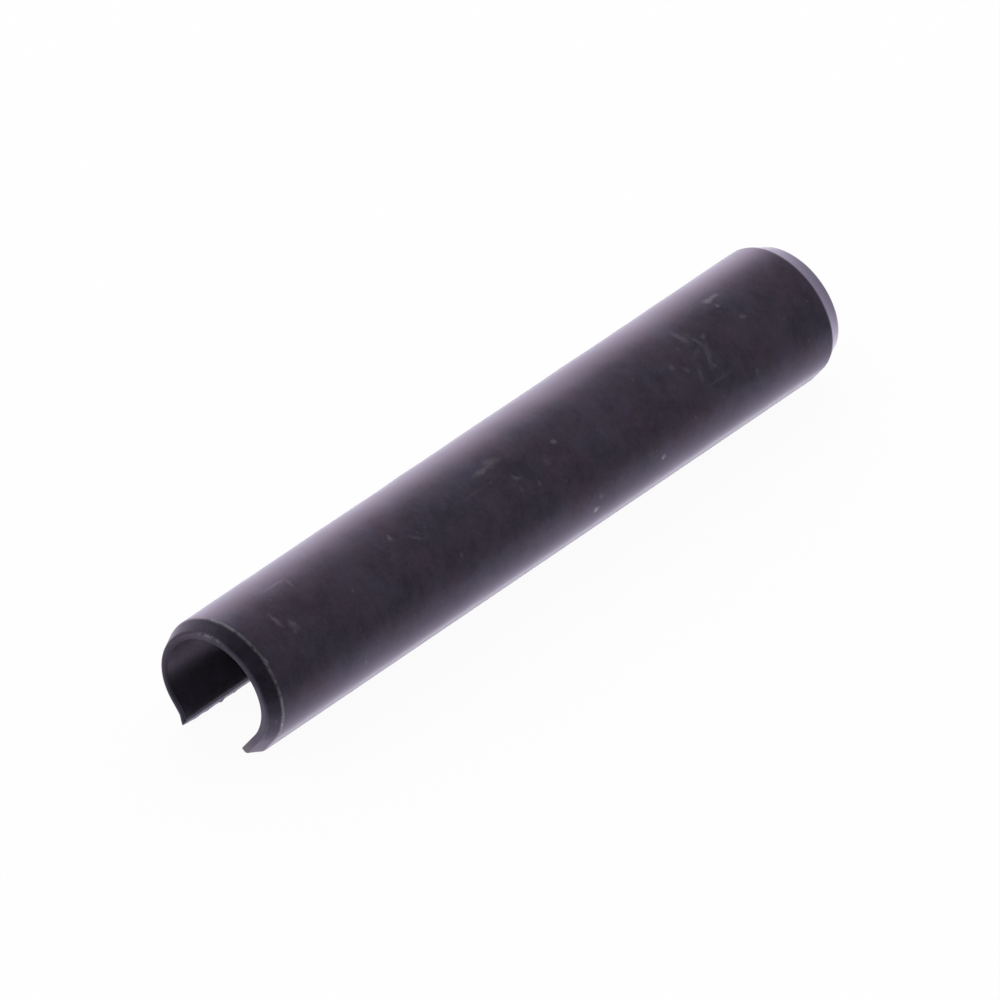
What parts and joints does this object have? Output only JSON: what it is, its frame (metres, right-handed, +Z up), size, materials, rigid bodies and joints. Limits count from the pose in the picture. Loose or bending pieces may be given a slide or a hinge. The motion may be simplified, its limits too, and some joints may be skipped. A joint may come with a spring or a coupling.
{
  "type": "slotted spring pin",
  "caption": "Slotted spring pin: a strip of blackened spring steel rolled into a C, open along its length, with a lead-in bevel at each end.",
  "frame": {"origin": "on the surface that the pin lies on, under the middle of its length and width", "axes": "+X along the pin, +Z up, slot facing down; the two ends are alike"},
  "size_m": [0.028, 0.005, 0.0043],
  "materials": {
    "spring_steel": "blackened and oiled spring steel, satin, worn paler along its edges"
  },
  "bodies": {
    "root": {"spring_pin": "spring_steel"}
  },
  "joints": []
}
